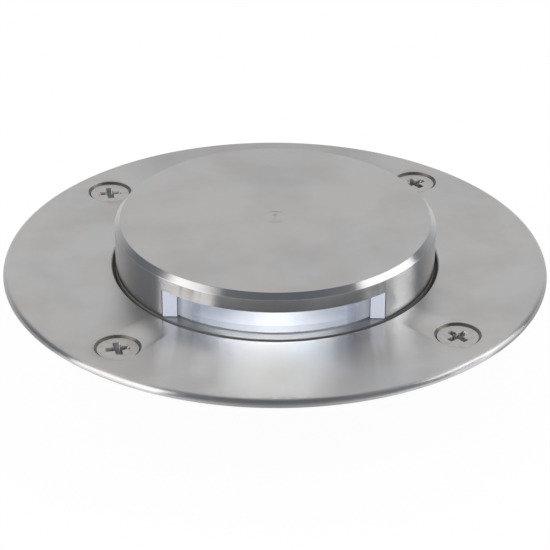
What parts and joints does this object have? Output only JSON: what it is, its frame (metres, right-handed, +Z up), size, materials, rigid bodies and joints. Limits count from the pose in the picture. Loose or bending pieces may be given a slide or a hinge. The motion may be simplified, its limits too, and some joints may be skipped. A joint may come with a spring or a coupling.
{
  "type": "in-ground light",
  "caption": "Round walk-over light: flat flange ring held by sunk screws, a raised turning cap with one side window, and a shallow stepped housing with a cable gland.",
  "frame": {"origin": "centre of the circle on which the flange's rim lies on the ground, at the top of the spigot that drops into the cut-out", "axes": "+Z up out of the ground along the axis of the ring and the cap, +Y towards the cable gland, the window faces about -Y"},
  "size_m": [0.12, 0.12, 0.0315],
  "materials": {
    "turned_stainless": "turned stainless steel with fine concentric tool marks",
    "screw_stainless": "cold-headed stainless steel, slightly warmer and brighter than the ring",
    "clear_lens": "clear moulded lens, polished",
    "seal_rubber": "matt black moulded rubber",
    "reflector_plastic": "white and silvered moulded plastic, glossy",
    "plated_steel": "zinc-plated steel",
    "glide_plastic": "white low-friction plastic",
    "cast_aluminium": "die-cast aluminium, fine cast grain",
    "insert_brass": "knurled brass",
    "board_white": "white solder mask on an aluminium-core board",
    "led_phosphor": "yellow phosphor under clear resin",
    "thermal_silicone": "soft silicone sheet",
    "plate_aluminium": "milled aluminium plate",
    "board_green": "green solder mask",
    "component_black": "moulded black components",
    "capacitor_can": "drawn aluminium cans",
    "terminal_plastic": "moulded grey-white terminal body",
    "lead_red": "red insulation",
    "lead_black": "black insulation",
    "gland_plastic": "black moulded polyamide"
  },
  "bodies": {
    "housing": {"glide_ring": "glide_plastic", "housing_pot": "cast_aluminium", "thread_inserts": "insert_brass", "rim_gasket": "seal_rubber", "led_board": "board_white", "led_chips": "led_phosphor", "led_board_screws": "plated_steel", "thermal_pad": "thermal_silicone", "heat_spreader": "plate_aluminium", "spreader_screws": "plated_steel", "driver_board": "board_green", "driver_inductor": "component_black", "driver_capacitors": "capacitor_can", "driver_chips": "component_black", "driver_screws": "plated_steel", "terminal_block": "terminal_plastic", "terminal_screws": "plated_steel", "lead_positive": "lead_red", "lead_negative": "lead_black", "input_leads": "lead_black", "gland_body": "gland_plastic", "gland_washer": "seal_rubber", "gland_seal": "seal_rubber", "gland_nut": "gland_plastic"},
    "cover": {"flange_ring": "turned_stainless", "flange_screws": "screw_stainless"},
    "head": {"cap": "turned_stainless", "window_lens": "clear_lens", "lens_seal": "seal_rubber", "reflector": "reflector_plastic", "reflector_screws": "plated_steel", "head_o_ring": "seal_rubber"}
  },
  "joints": [
    {"name": "ring_lift", "type": "slide", "parent": "housing", "child": "cover", "axis": [0, 0, 1], "range_m": [0, 0.025]},
    {"name": "aim_turn", "type": "hinge", "parent": "cover", "child": "head", "pos_m": [0, 0, 0], "axis": [0, 0, 1], "continuous": true}
  ]
}
